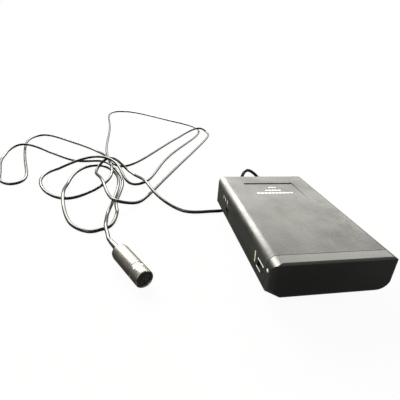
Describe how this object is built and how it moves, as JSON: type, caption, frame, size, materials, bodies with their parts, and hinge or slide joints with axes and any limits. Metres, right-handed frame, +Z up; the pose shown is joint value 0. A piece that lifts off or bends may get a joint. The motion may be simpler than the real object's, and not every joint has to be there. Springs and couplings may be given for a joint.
{
  "type": "wireless bodypack transmitter",
  "caption": "Belt-worn wireless transmitter with a sliding battery cap, side switch and jack, sprung belt clip and a wired clip-on microphone lying in loose loops",
  "frame": {"origin": "centre of the case's footprint, on the surface that the belt clip rests on", "axes": "X across the case, Y along it from the battery cap to the cord end, Z up out of the front face"},
  "size_m": [0.2511, 0.4682, 0.0265],
  "materials": {
    "shell_textured": "black moulded plastic with a fine spark-eroded grain",
    "back_plastic": "black moulded plastic, fine grain",
    "cap_plastic": "smooth black plastic, half gloss",
    "screw_steel": "zinc plated steel",
    "foam": "grey closed-cell foam",
    "inner_plastic": "plain black plastic",
    "battery_jacket": "painted metal jacket, plain",
    "snap_metal": "nickel plated brass",
    "contact_metal": "plated brass",
    "lead_insulation": "thin vinyl insulation",
    "print_white": "pale printed marks",
    "switch_metal": "tinned steel",
    "slider_plastic": "black ribbed plastic",
    "jack_plastic": "black plastic",
    "board_green": "solder-masked glass-epoxy",
    "tinned_steel": "tinned sheet steel",
    "ferrite": "ferrite",
    "trimmer_blue": "blue plastic",
    "capacitor_sleeve": "dark sleeve with a bare aluminium top",
    "chip_black": "moulded epoxy with tinned legs",
    "resistor_body": "lacquered ceramic",
    "disc_ceramic": "dipped ceramic",
    "clip_steel": "plated steel",
    "clip_paint": "black painted spring steel",
    "boot_rubber": "soft black rubber",
    "cord_jacket": "satin black vinyl",
    "mic_metal": "black anodised metal, half matt",
    "mic_mesh": "woven dark mesh",
    "capsule_metal": "bare aluminium can"
  },
  "bodies": {
    "case": {"front_shell": "shell_textured", "back_cover": "back_plastic", "case_screws": "screw_steel", "battery_tray": "inner_plastic", "battery": "battery_jacket", "battery_snaps": "snap_metal", "battery_contacts": "contact_metal", "power_leads": "lead_insulation", "switch_bezel": "jack_plastic", "switch_body": "switch_metal", "side_jack": "jack_plastic", "main_board": "board_green", "rf_shield": "tinned_steel", "crystal": "tinned_steel", "tuning_cans": "tinned_steel", "tuning_cores": "ferrite", "level_trimmers": "trimmer_blue", "electrolytics": "capacitor_sleeve", "integrated_circuits": "chip_black", "resistors": "resistor_body", "disc_capacitors": "disc_ceramic", "clip_bracket": "clip_steel", "clip_screws": "screw_steel", "clip_pin": "clip_steel", "clip_spring": "clip_steel", "cord_boot": "boot_rubber", "cord_leads": "lead_insulation", "mic_cord": "cord_jacket", "mic_relief": "boot_rubber", "mic_barrel": "mic_metal", "mic_collar": "mic_metal", "mic_grille": "mic_mesh", "mic_foam": "foam", "mic_capsule": "capsule_metal", "mic_pins": "screw_steel"},
    "cap": {"battery_cap": "cap_plastic", "cap_foam": "foam"},
    "slider": {"switch_slider": "slider_plastic"},
    "clip": {"belt_clip": "clip_paint"}
  },
  "joints": [
    {"name": "cap_slide", "type": "slide", "parent": "case", "child": "cap", "axis": [0, -1, 0], "range_m": [0, 0.012]},
    {"name": "switch_slide", "type": "slide", "parent": "case", "child": "slider", "axis": [0, 1, 0], "range_m": [0, 0.0032]},
    {"name": "clip_hinge", "type": "hinge", "parent": "case", "child": "clip", "pos_m": [0, 0.034, 0.0022], "axis": [1, 0, 0], "range_deg": [0, 10], "stiffness_Nm_per_rad": 0.4, "springref_deg": -28.65}
  ]
}
